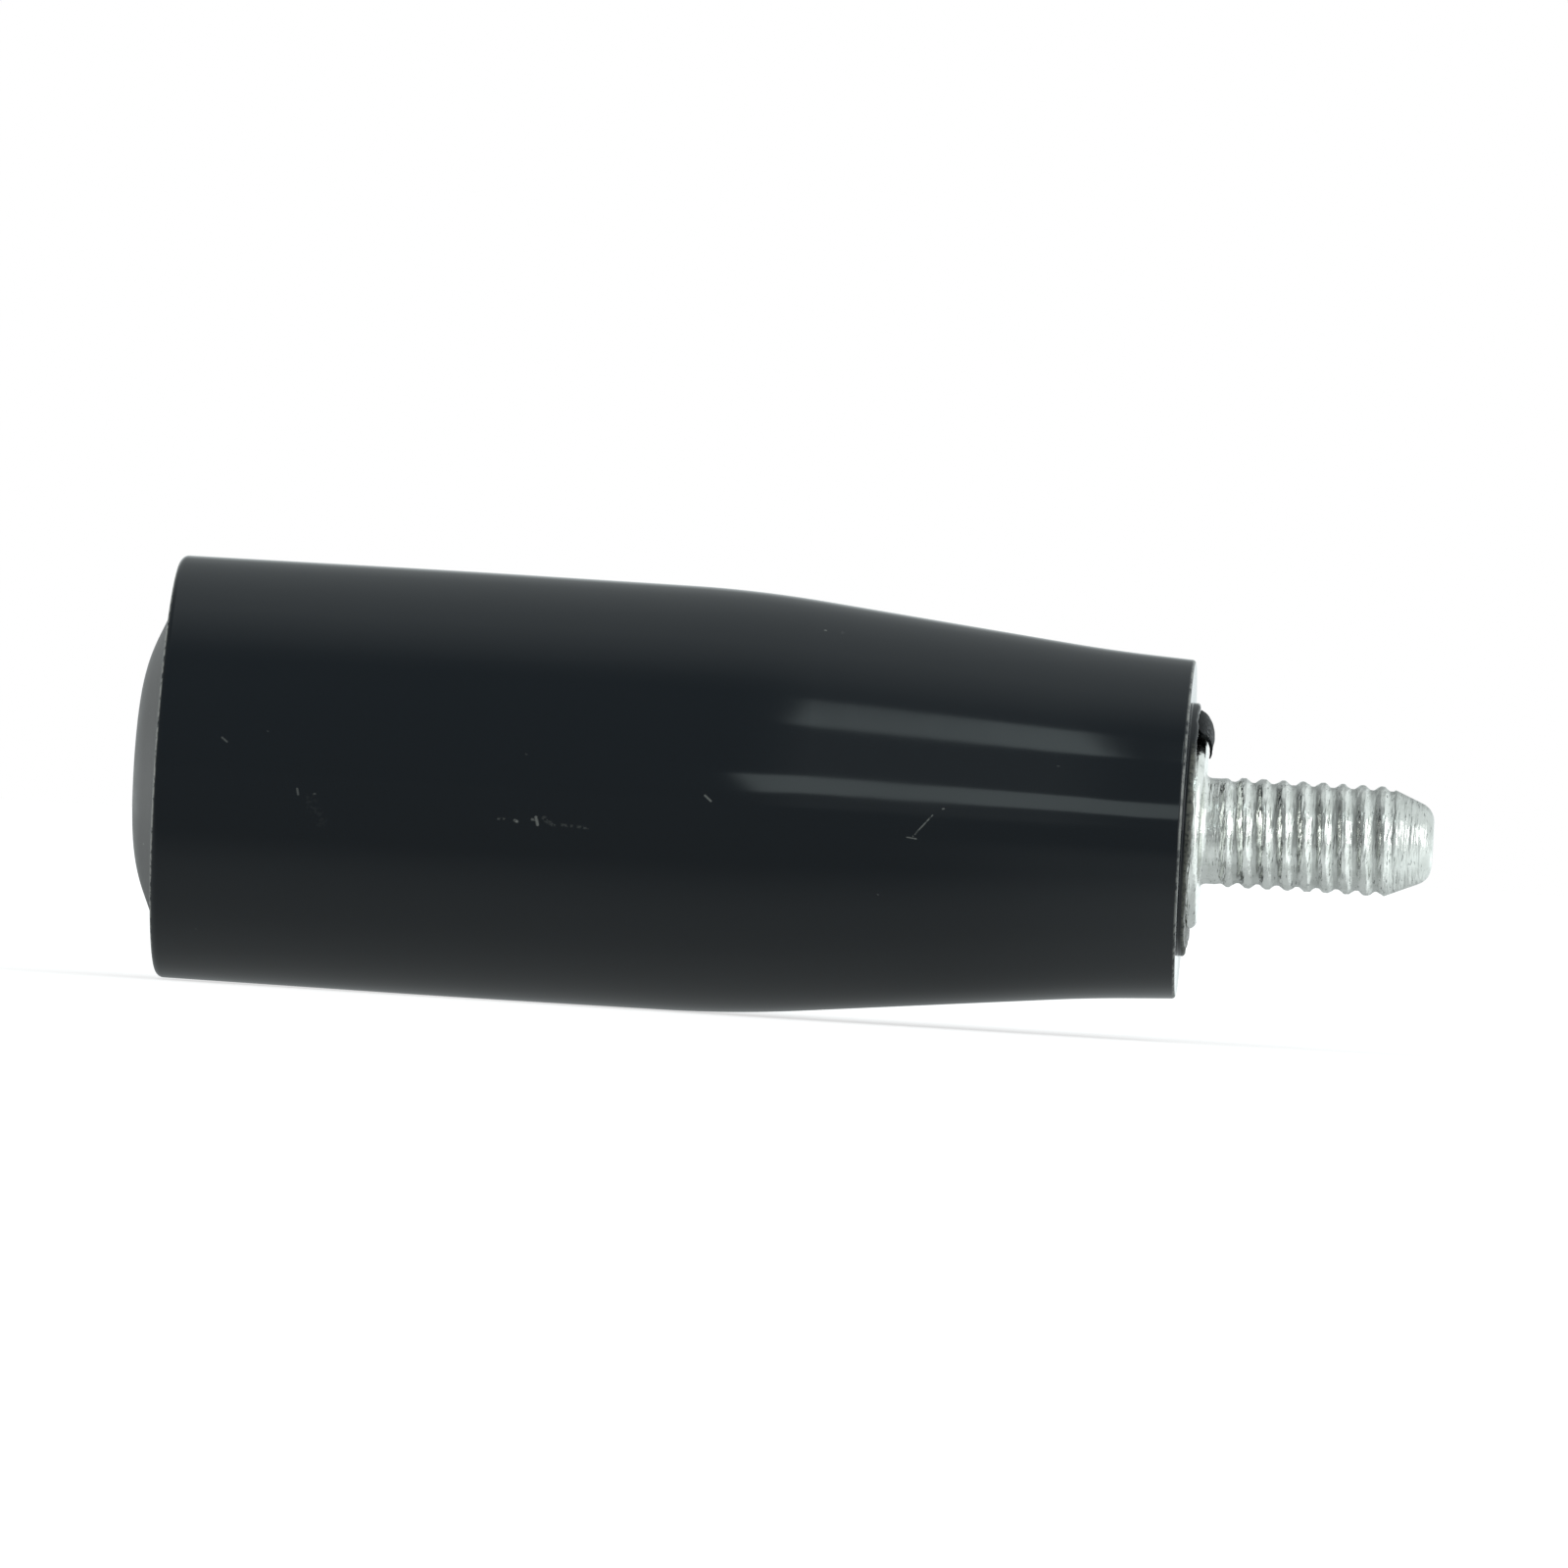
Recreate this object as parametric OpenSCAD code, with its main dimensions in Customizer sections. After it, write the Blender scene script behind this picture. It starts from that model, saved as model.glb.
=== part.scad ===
// Revolving machine handle.
// A moulded barrel-shaped sleeve turns freely on a steel spindle, whose threaded stud screws
// into a crank arm or a handwheel. A washer and a retaining ring keep the sleeve on the
// spindle, and a push-in cap closes the wide end.
// The axis lies along X. The origin is the middle of the flange face that seats on the
// machine: the stud points along +X and the sleeve lies along -X.

/* [Sleeve] */
// Length of the barrel, from the wide end to the shoulder
barrel_len = 29.23; // [22:0.01:60]
// Length of the cone between the shoulder and the foot
cone_len = 18; // [10:0.1:40]
// Length of the slightly tapered foot at the narrow end
foot_len = 4.3; // [3:0.1:12]
// Diameter at the wide end
butt_d = 21.38; // [20.4:0.02:30]
// Diameter at the fullest part of the barrel
belly_d = 21.54; // [20.4:0.02:30]
// Diameter where the barrel and the cone would meet in a corner
shoulder_d = 21.46; // [19:0.02:30]
// Diameter where the cone and the foot would meet in a corner
foot_d = 17.6; // [15:0.02:26]
// Diameter at the narrow end
nose_d = 17.12; // [15:0.02:24]
// Radius that blends the two halves of the barrel
belly_blend = 900; // [200:50:2000]
// Radius that blends the barrel into the cone
shoulder_blend = 66; // [10:1:120]
// Radius that blends the cone into the foot
foot_blend = 93; // [10:1:150]
// Edge radius of the wide end
butt_edge = 0.4; // [0.1:0.05:1]
// Edge radius of the narrow end
nose_edge = 0.2; // [0.1:0.05:1]

/* [Lip and flash] */
// Height of the lip around the flange
lip_h = 0.38; // [0.1:0.02:0.6]
// Width of the lip around the flange
lip_band = 1.25; // [0.8:0.05:1.5]
// Thickness of the curl of moulding flash
flash_t = 0.26; // [0.1:0.02:0.3]
// Gap between the curl and the flange face
flash_gap = 0.12; // [0.1:0.02:0.4]
// Outer bend radius of the curl
flash_bend = 0.9; // [0.5:0.05:1.2]
// Part of a turn that the curl covers, in degrees
flash_sweep = 54; // [10:1:90]
// Lean of the curl's middle from the top to the front, in degrees
flash_lean = 15; // [-45:1:45]
// Distance of the curl's root inside the edge of the lip
flash_inset = 0.15; // [0.05:0.05:0.3]

/* [Spindle] */
// Diameter of the shank that carries the sleeve
shank_d = 8; // [7:0.5:9]
// Step from the shank out to the edge of the flange
flange_step = 1; // [0.8:0.1:1.4]
// Thickness of the flange
flange_t = 2.4; // [1.6:0.1:5]
// Height of the flange face above the narrow end of the sleeve
flange_proud = 0.84; // [0.6:0.02:1.2]
// Edge radius of the flange
flange_edge = 0.45; // [0.1:0.05:0.6]
// Length of the shank past the retaining ring's groove
tail_len = 2; // [1:0.1:4]
// Edge radius of the shank's end
tail_edge = 0.4; // [0.1:0.05:0.8]
// Width across the flats of the tightening socket
socket_af = 4; // [2.5:0.5:4.5]
// Depth of the tightening socket
socket_depth = 5; // [3:0.5:8]

/* [Stud] */
// Thread diameter of the stud
stud_d = 6; // [5:0.5:6.5]
// Thread pitch of the stud
stud_pitch = 1; // [0.5:0.25:1.25]
// Length of the stud from the flange face
stud_len = 11.65; // [9:0.05:40]
// Length of the plain neck beside the flange
neck_len = 1; // [0.6:0.1:2]
// Radius of the fillet between the neck and the flange face
neck_fillet = 0.4; // [0.1:0.05:0.6]
// Length of the cone point
point_len = 2.4; // [1:0.1:4]
// Half angle of the cone point, in degrees
point_angle = 23; // [10:1:35]
// Radius that rounds the end of the cone point
point_edge = 1; // [0.1:0.05:1.2]

/* [Washer and ring] */
// Width of the washer's band outside the shank
washer_band = 3.5; // [3.2:0.1:4]
// Thickness of the washer
washer_t = 1.6; // [0.8:0.1:3]
// Edge radius of the washer
washer_edge = 0.2; // [0.05:0.05:0.3]
// Thickness of the retaining ring
ring_t = 0.8; // [0.6:0.1:1.5]
// Depth of the retaining ring's groove
groove_depth = 0.2; // [0.15:0.05:0.5]
// Width of the retaining ring opposite its gap
ring_band = 1.7; // [1.4:0.1:2]
// Width of the retaining ring beside its lugs
ring_thin = 1.1; // [0.9:0.1:1.2]
// Radius of a lug of the retaining ring
lug_r = 1.1; // [0.9:0.05:1.3]
// Diameter of the hole in a lug
lug_hole_d = 1; // [0.6:0.1:1.2]
// Gap between the two lugs
lug_gap = 1; // [0.6:0.1:2]

/* [Cap] */
// Depth of the cap's seat in the wide end
cap_depth = 5.5; // [4:0.1:7]
// Height of the crown above the wide end
crown_h = 1.53; // [1.2:0.01:3]
// Diameter where the flat of the crown and its slope would meet in a corner
crown_d = 9.8; // [6:0.1:13]
// Radius that rounds the crown's corner
crown_blend = 9; // [1:0.5:10]
// Height of the cap's edge above the wide end
cap_edge_h = 0.12; // [0.1:0.02:0.8]
// Radius that rounds the cap's edge
cap_edge_r = 0.2; // [0.05:0.05:0.3]
// Thickness of the cap's skirt
cap_wall = 1.3; // [1:0.1:2]
// Thickness of the cap's top
cap_top = 1.6; // [1:0.1:3]
// Height of the snap bead around the skirt
bead_h = 0.25; // [0.1:0.05:0.4]
// Distance of the snap bead from the wide end
bead_at = 3.2; // [2:0.1:3.4]
// Depth of the pocket behind the cap's seat, to its floor
pocket_depth = 12; // [11:0.1:20]
// Width of the ledge that stops the cap
ledge = 0.55; // [0.3:0.05:0.8]

/* [Clearances] */
// Running clearance of the shank in the sleeve, on the radius
shank_play = 0.06; // [0.02:0.01:0.1]
// Clearance of the flange in its recess, on the radius
flange_play = 0.15; // [0.1:0.05:0.3]
// Clearance along the axis at each end of the sleeve
end_play = 0.1; // [0.05:0.05:0.3]
// Clearance of the washer on the shank, on the radius
washer_play = 0.2; // [0.05:0.05:0.4]
// Clearance of the washer in the pocket, on the radius
pocket_play = 0.2; // [0.1:0.05:0.4]
// Clearance of the retaining ring in its groove
ring_play = 0.05; // [0.02:0.01:0.1]
// Clearance of the cap in its seat, on the radius
cap_play = 0.05; // [0.02:0.01:0.1]

/* [Hidden] */
$fn = 96;
arc_steps = 8;

// Thread depth from the thread diameter to the pitch diameter, as a share of the pitch
pitch_share = 0.65;
hexagon = 6;

// Radii from the axis outwards
shank_r = shank_d / 2;
bore_r = shank_r + shank_play;
flange_r = shank_r + flange_step;
recess_r = flange_r + flange_play;
lip_r = recess_r + lip_band;
stud_r = stud_d / 2;
neck_r = stud_r - pitch_share * stud_pitch / 2;
point_r = stud_r - point_len * tan(point_angle);
groove_r = shank_r - groove_depth;
ring_r = groove_r + ring_play;
washer_in_r = shank_r + washer_play;
washer_r = shank_r + washer_band;
pocket_r = washer_r + pocket_play;
seat_r = pocket_r + ledge;
cap_r = seat_r - cap_play;

// Places along the axis, from the stud to the crown of the cap
sleeve_len = barrel_len + cone_len + foot_len;
nose_x = -flange_proud;
lip_x = nose_x + lip_h;
recess_x = -flange_t - end_play;
butt_x = nose_x - sleeve_len;
shoulder_x = butt_x + barrel_len;
foot_x = shoulder_x + cone_len;
belly_x = butt_x + barrel_len / 2;
pocket_x = butt_x + pocket_depth;
ledge_x = butt_x + cap_depth;
bead_x = butt_x + bead_at;
washer_x = pocket_x - end_play - washer_t;
ring_x = washer_x - ring_t;
groove_x = ring_x - 2 * ring_play;
tail_x = groove_x - tail_len;
crown_x = butt_x - crown_h;

// A corner is [radius from the axis, place along the axis, rounding radius]
function place(c) = [c[0], c[1]];
function unit(v) = v / norm(v);
function turn(from, to) = to - from > 180 ? to - from - 360 : to - from < -180 ? to - from + 360 : to - from;

// Points that round the corner at b between a and c, with tangents no longer than half a side
function arc_at(a, b, c, r) =
    let (u = unit(a - b), w = unit(c - b))
    let (half = acos(u * w) / 2)
    let (reach = min(r / tan(half), norm(a - b) / 2, norm(c - b) / 2))
    let (radius = reach * tan(half), centre = b + unit(u + w) * reach / cos(half))
    let (p = b + u * reach - centre, q = b + w * reach - centre)
    let (start = atan2(p.y, p.x), sweep = turn(start, atan2(q.y, q.x)))
    [for (i = [0:arc_steps]) let (t = start + sweep * i / arc_steps) centre + radius * [cos(t), sin(t)]];

// Outline through a closed ring of corners
function outline(corners) =
    let (n = len(corners))
    [for (i = [0:n - 1])
        let (b = corners[i], a = corners[(i + n - 1) % n], c = corners[(i + 1) % n])
        each (b[2] > 0 ? arc_at(place(a), place(b), place(c), b[2]) : [place(b)])];

// Solid of revolution about the X axis, or a part of one that leans from the top to the front
module turned(corners, sweep = 360, lean = 0) {
    rotate([0, 90, 0])
        rotate([0, 0, 180 + lean - sweep / 2])
            rotate_extrude(angle = sweep)
                polygon(outline(corners));
}

module along_x(x) {
    translate([x, 0, 0])
        rotate([0, 90, 0])
            children();
}

// Curl of flash on the lip, between its top and its front, which hooks over the flange's rounded edge
module flash() {
    root_r = lip_r - flash_inset;
    tip_r = flange_r - flange_edge + flash_gap;
    top_x = flash_gap + flash_t;
    turned([
        [root_r, nose_x - lip_h, 0],
        [root_r, top_x, flash_bend],
        [tip_r, top_x, 0],
        [tip_r, flash_gap, 0],
        [root_r - flash_t, flash_gap, flash_bend - flash_t],
        [root_r - flash_t, nose_x - lip_h, 0]
    ], flash_sweep, flash_lean);
}

module sleeve() {
    color([0.13, 0.14, 0.15])
        union() {
            turned([
                [seat_r, butt_x, 0],
                [butt_d / 2, butt_x, butt_edge],
                [belly_d / 2, belly_x, belly_blend],
                [shoulder_d / 2, shoulder_x, shoulder_blend],
                [foot_d / 2, foot_x, foot_blend],
                [nose_d / 2, nose_x, nose_edge],
                [lip_r, nose_x, 0],
                [lip_r, lip_x, lip_h / 2],
                [recess_r, lip_x, 0],
                [recess_r, recess_x, 0],
                [bore_r, recess_x, 0],
                [bore_r, pocket_x, 0],
                [pocket_r, pocket_x, 0],
                [pocket_r, ledge_x, 0],
                [seat_r, ledge_x, 0],
                [seat_r, bead_x + bead_h + cap_play, 0],
                [seat_r + bead_h, bead_x, 0],
                [seat_r, bead_x - bead_h - cap_play, 0]
            ]);
            flash();
        }
}

module spindle() {
    color([0.78, 0.8, 0.79])
        difference() {
            turned([
                [0, tail_x, 0],
                [shank_r, tail_x, tail_edge],
                [shank_r, groove_x, 0],
                [groove_r, groove_x, 0],
                [groove_r, washer_x, 0],
                [shank_r, washer_x, 0],
                [shank_r, -flange_t, 0],
                [flange_r, -flange_t, 0],
                [flange_r, 0, flange_edge],
                [neck_r, 0, neck_fillet],
                [neck_r, neck_len, 0],
                [stud_r, neck_len + stud_r - neck_r, 0],
                [stud_r, stud_len - point_len, 0],
                [point_r, stud_len, point_edge],
                [0, stud_len, 0]
            ]);
            along_x(tail_x - socket_depth)
                cylinder(d = socket_af / cos(180 / hexagon), h = 2 * socket_depth, $fn = hexagon);
        }
}

module thrust_washer() {
    color([0.72, 0.72, 0.7])
        turned([
            [washer_in_r, washer_x, washer_edge],
            [washer_r, washer_x, washer_edge],
            [washer_r, washer_x + washer_t, washer_edge],
            [washer_in_r, washer_x + washer_t, washer_edge]
        ]);
}

// Snap ring, thick opposite its gap and thin beside its two lugs
module retaining_ring() {
    outer_r = ring_r + (ring_band + ring_thin) / 2;
    offset_z = (ring_band - ring_thin) / 2;
    lug_y = lug_gap / 2 + lug_r;
    lug_z = ring_r + lug_r;
    color([0.25, 0.25, 0.26])
        along_x(ring_x)
            difference() {
                union() {
                    translate([offset_z, 0, 0])
                        cylinder(r = outer_r, h = ring_t);
                    for (side = [-1, 1])
                        translate([-lug_z, side * lug_y, 0])
                            cylinder(r = lug_r, h = ring_t);
                }
                translate([0, 0, -ring_t])
                    cylinder(r = ring_r, h = 3 * ring_t);
                translate([-lug_z - outer_r, -lug_gap / 2, -ring_t])
                    cube([lug_z + outer_r, lug_gap, 3 * ring_t]);
                for (side = [-1, 1])
                    translate([-lug_z, side * lug_y, -ring_t])
                        cylinder(d = lug_hole_d, h = 3 * ring_t);
            }
}

module end_cap() {
    inner_r = cap_r - cap_wall;
    color([0.4, 0.4, 0.41])
        turned([
            [0, crown_x, 0],
            [crown_d / 2, crown_x, crown_blend],
            [cap_r, butt_x - cap_edge_h, cap_edge_r],
            [cap_r, bead_x - bead_h, 0],
            [cap_r + bead_h, bead_x, 0],
            [cap_r, bead_x + bead_h, 0],
            [cap_r, ledge_x, 0],
            [inner_r, ledge_x, 0],
            [inner_r, crown_x + cap_top, cap_wall / 2],
            [0, crown_x + cap_top, 0]
        ]);
}

sleeve();
spindle();
thrust_washer();
retaining_ring();
end_cap();
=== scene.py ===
"""Dressed scene of a revolving machine handle.

A glossy black moulded sleeve turns on a zinc-plated spindle with a threaded stud, and a matt grey cap
closes its wide end. Lengths in the classes are in millimetres, along the handle's own axis (X), and the
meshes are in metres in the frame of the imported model: the seat face of the spindle's flange is at the
origin, the stud points along +X and the front of the handle faces -Y.
"""
import logging
import math
from dataclasses import dataclass, field
from enum import Enum
from functools import partialmethod
from typing import Optional, Sequence, Union

import bpy
import numpy as np
from mathutils import Matrix, Vector


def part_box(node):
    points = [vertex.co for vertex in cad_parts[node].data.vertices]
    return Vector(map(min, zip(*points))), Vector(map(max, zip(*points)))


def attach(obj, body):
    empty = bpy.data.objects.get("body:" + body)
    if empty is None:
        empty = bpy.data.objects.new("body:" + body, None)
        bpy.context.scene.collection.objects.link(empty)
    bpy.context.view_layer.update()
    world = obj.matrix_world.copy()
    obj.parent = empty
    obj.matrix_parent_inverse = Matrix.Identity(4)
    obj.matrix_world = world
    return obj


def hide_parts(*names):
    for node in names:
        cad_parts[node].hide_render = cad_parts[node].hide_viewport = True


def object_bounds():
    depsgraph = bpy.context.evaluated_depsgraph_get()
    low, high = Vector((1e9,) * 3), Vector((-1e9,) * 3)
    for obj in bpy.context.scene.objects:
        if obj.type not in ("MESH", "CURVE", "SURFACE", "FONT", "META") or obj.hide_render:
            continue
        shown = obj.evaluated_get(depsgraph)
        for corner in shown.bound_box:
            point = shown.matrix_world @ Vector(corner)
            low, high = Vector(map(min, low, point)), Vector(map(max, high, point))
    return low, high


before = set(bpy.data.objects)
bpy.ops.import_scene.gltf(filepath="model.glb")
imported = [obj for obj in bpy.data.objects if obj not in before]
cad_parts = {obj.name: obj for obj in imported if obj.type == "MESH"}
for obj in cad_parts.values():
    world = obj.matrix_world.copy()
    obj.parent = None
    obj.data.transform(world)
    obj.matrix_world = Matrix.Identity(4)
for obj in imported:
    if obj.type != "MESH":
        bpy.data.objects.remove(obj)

CAD_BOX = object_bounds()
MM = 0.001
FULL_TURN = 2.0 * math.pi
SAME_PLACE = 1e-7
LOG = logging.getLogger("revolving_handle")

Pair = tuple[float, float]
Triple = tuple[float, float, float]
Colour = Triple
Value = Union["Signal", float]
Array = np.ndarray
Piece = bpy.types.Object
Material = bpy.types.Material

WHITE: Colour = (1.0, 1.0, 1.0)
STRIP_TINT: Colour = (0.86, 1.0, 1.0)

# Sockets of a colour mix
MIX_COLOURS = slice(6, 8)
MIX_RESULT = 2


class Body(Enum):
    """Rigid bodies of the handle that a piece can ride on."""

    SPINDLE = "spindle"
    SLEEVE = "sleeve"


class Slot(Enum):
    """Material slots of the record."""

    BLACK = "black_moulding"
    ZINC = "zinc_plate"
    GREY = "grey_plastic"


def linked(name: str, data: bpy.types.ID) -> Piece:
    """New object with the data, linked to the scene."""
    piece = bpy.data.objects.new(name, data)
    bpy.context.scene.collection.objects.link(piece)
    return piece


# Turned outlines and grid surfaces


@dataclass(frozen=True)
class Corner:
    """A corner of a turned outline: distance from the axis, place along it, and radius that rounds it."""

    r: float
    x: float
    radius: float = 0.0

    @property
    def place(self) -> Array:
        """The corner as an (r, x) pair."""
        return np.array([self.r, self.x])


def unit(vector: Array) -> Array:
    """The vector at length one."""
    return vector / np.linalg.norm(vector)


def rounded_corner(before: Corner, corner: Corner, after: Corner, steps: int) -> Array:
    """Arc that touches both sides of a corner.

    The centre lies on the bisector of the two sides, at the radius divided by the sine of half the angle
    between them, and the tangents reach no further than half of each side.

    Args:
        before: The corner before it.
        corner: The corner to round.
        after: The corner after it.
        steps: Number of spans along the arc.

    Returns:
        The arc's points as (r, x) rows.
    """
    if corner.radius <= 0.0:
        return corner.place[None, :]
    a, b = before.place - corner.place, after.place - corner.place
    u, w = unit(a), unit(b)
    half = math.acos(float(np.clip(u @ w, -1.0, 1.0))) / 2.0
    reach = min(corner.radius / math.tan(half), np.linalg.norm(a) / 2.0, np.linalg.norm(b) / 2.0)
    radius = reach * math.tan(half)
    centre = corner.place + unit(u + w) * reach / math.cos(half)
    p, q = corner.place + u * reach - centre, corner.place + w * reach - centre
    start, stop = math.atan2(p[1], p[0]), math.atan2(q[1], q[0])
    sweep = (stop - start + math.pi) % FULL_TURN - math.pi
    angle = start + sweep * np.linspace(0.0, 1.0, steps + 1)
    return centre + radius * np.stack([np.cos(angle), np.sin(angle)], axis=1)


def guarded(start: Array, end: Array, guard: float) -> Array:
    """Points just inside both ends of a straight run, which keep an arc's shading off the run.

    Args:
        start: First point of the run.
        end: Its last point.
        guard: Distance of the points from the run's ends, or 0 for no points.

    Returns:
        Two points as (r, x) rows, or none where the run is short.
    """
    length = float(np.linalg.norm(end - start))
    shortest = 4.0 * guard
    if guard <= 0.0 or length < shortest:
        return np.zeros((0, 2))
    inset = (end - start) * guard / length
    return np.stack([start + inset, end - inset])


def turned_outline(
    corners: Sequence[Corner], step: float, arc_steps: int = 10, guard: float = 0.0, closed: bool = False
) -> Array:
    """Outline through corners, with arcs at the rounded ones and straight runs split evenly.

    Args:
        corners: Corners in order. The first and the last of an open outline are sharp.
        step: Longest span along a straight run.
        arc_steps: Number of spans along each arc.
        guard: Length of the narrow spans at both ends of a straight run.
        closed: Whether the last corner joins the first.

    Returns:
        The outline's points as (r, x) rows.
    """
    around = [*corners[-1:], *corners, *corners[:1]]
    arcs = [rounded_corner(*three, arc_steps) for three in zip(around, around[1:], around[2:])]
    if closed:
        arcs.append(arcs[0][:1])
    runs = [guarded(a[-1], b[0], guard) for a, b in zip(arcs, arcs[1:])]
    points = np.concatenate([part for pair in zip(arcs, runs) for part in pair] + arcs[-1:])
    gaps = np.linalg.norm(np.diff(points, axis=0), axis=1)
    apart = gaps > SAME_PLACE
    points, gaps = points[np.r_[True, apart]], gaps[apart]
    splits = np.maximum(1, np.ceil(gaps / step)).astype(int)
    stations = np.r_[0.0, np.cumsum(np.repeat(1.0 / splits, splits))]
    index = np.arange(len(points), dtype=float)
    fine = np.stack([np.interp(stations, index, points[:, k]) for k in (0, 1)], axis=1)
    return fine[:-1] if closed else fine


class Ends(Enum):
    """Ways to close the first and the last row of a grid."""

    RING = "the last row joins the first, as on a tube with a bore"
    FAN = "triangles run from the middle of the row to its points"
    ZIP = "strips join the two sides of a flat row"


@dataclass
class GridSurface:
    """A closed surface on a grid of points.

    Attributes:
        points: Array of shape (rows, columns, 3), in millimetres. The columns join round.
        ends: How the first and the last row are closed.
    """

    points: Array
    ends: Ends = Ends.FAN

    @staticmethod
    def zipped(row: Array) -> tuple[Array, Array]:
        """Closes a flat row: each point is paired with the one as far back from the row's start.

        Args:
            row: Numbers of the row's points, an even count.

        Returns:
            Quads and triangles that fill the row.
        """
        count = len(row)
        half = count // 2
        k = np.arange(1, half - 1)
        quads = row[np.stack([count - k, count - k - 1, k + 1, k], axis=-1)]
        return quads, row[np.array([[count - 1, 1, 0], [half + 1, half, half - 1]])]

    def triangles_and_quads(self) -> tuple[Array, Array, Array]:
        """Lists the faces between neighbouring rows and columns.

        Returns:
            Vertices (n, 3), quads (q, 4) and triangles (t, 3), all facing one way.
        """
        rows, columns, _ = self.points.shape
        vertices = self.points.reshape(-1, 3)
        grid = np.arange(rows * columns).reshape(rows, columns)
        ring = self.ends is Ends.RING
        low = grid if ring else grid[:-1]
        high = np.roll(grid, -1, axis=0) if ring else grid[1:]
        next_low, next_high = np.roll(low, -1, axis=1), np.roll(high, -1, axis=1)
        quads = np.stack([low, next_low, next_high, high], axis=-1).reshape(-1, 4)
        if ring:
            return vertices, quads, np.zeros((0, 3), int)
        if self.ends is Ends.ZIP:
            first_quads, first_triangles = self.zipped(grid[0])
            last_quads, last_triangles = self.zipped(grid[-1])
            triangles = np.concatenate([first_triangles, last_triangles[:, ::-1]])
            return vertices, np.concatenate([quads, first_quads, last_quads[:, ::-1]]), triangles
        poles = np.stack([self.points[0].mean(axis=0), self.points[-1].mean(axis=0)])
        first, last = len(vertices), len(vertices) + 1
        start = np.stack([np.full(columns, first), np.roll(grid[0], -1), grid[0]], axis=-1)
        end = np.stack([np.full(columns, last), grid[-1], np.roll(grid[-1], -1)], axis=-1)
        return np.concatenate([vertices, poles]), quads, np.concatenate([start, end])

    def to_object(self, name: str, sharp_angle: float = 40.0) -> Piece:
        """Puts the surface into a mesh object at the origin, with its faces outwards.

        Args:
            name: Name of the object.
            sharp_angle: Bend past which an edge stays sharp, in degrees.

        Returns:
            The new object.
        """
        vertices, quads, triangles = self.triangles_and_quads()
        halves = np.concatenate([quads[:, [0, 1, 2]], quads[:, [0, 2, 3]], triangles])
        a, b, c = (vertices[halves[:, k]] for k in range(3))
        if np.einsum("ij,ij->i", a, np.cross(b, c)).sum() < 0.0:
            quads, triangles = quads[:, ::-1], triangles[:, ::-1]
        faces = quads.tolist() + triangles.tolist()
        mesh = bpy.data.meshes.new(name)
        mesh.from_pydata((vertices * MM).tolist(), [], faces, shade_flat=False)
        mesh.validate()
        mesh.set_sharp_from_angle(angle=math.radians(sharp_angle))
        LOG.info("%s: %d vertices, %d faces", name, len(vertices), len(faces))
        return linked(name, mesh)


def ring_angles(columns: int) -> Array:
    """Angles of a number of points spread evenly round the axis."""
    return np.arange(columns) * FULL_TURN / columns


def about_axis(x: Array, r: Array, angle: Array) -> Array:
    """Points round the axis: x stays, y is r times the cosine and z is r times the sine.

    Args:
        x: Places along the axis.
        r: Distances from it.
        angle: Angles round it.

    Returns:
        Grid of points of shape (rows, columns, 3).
    """
    return np.stack(np.broadcast_arrays(x, r * np.cos(angle), r * np.sin(angle)), axis=-1)


@dataclass(frozen=True)
class Wave:
    """Uneven wave: a sum of cosines with seeded phases, scaled to about -1 to 1.

    Attributes:
        seed: Seed of the phases.
        lobes: Number of waves per turn in each term.
        rate: Factor on the angle.
    """

    seed: int
    lobes: tuple[int, ...]
    rate: float = 1.0

    def at(self, angle: Array) -> Array:
        """Heights of the wave.

        Args:
            angle: Angles in radians.

        Returns:
            The height at each angle.
        """
        counts = np.asarray(self.lobes, float)
        phases = np.random.default_rng(self.seed).uniform(0.0, FULL_TURN, len(counts))
        terms = np.cos(np.multiply.outer(angle * self.rate, counts) + phases) / np.sqrt(counts)
        return terms.sum(axis=-1) / np.sqrt((0.5 / counts).sum()) / 2.0


def smooth(low: float, high: float, value: Array) -> Array:
    """Eased step: 0 below low, 1 above high, and 3t^2 - 2t^3 between."""
    t = np.clip((value - low) / (high - low), 0.0, 1.0)
    return t * t * (3.0 - 2.0 * t)


# Materials


@dataclass(frozen=True)
class Signal:
    """Output socket of a node on a bench, with arithmetic that makes math nodes."""

    bench: "NodeBench"
    socket: bpy.types.NodeSocket

    def join(self, operation: str, other: Value) -> "Signal":
        """Result of a math node from this and another value."""
        return self.bench.math(operation, self, other)

    __add__ = partialmethod(join, "ADD")
    __sub__ = partialmethod(join, "SUBTRACT")
    __mul__ = partialmethod(join, "MULTIPLY")
    __truediv__ = partialmethod(join, "DIVIDE")


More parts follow.
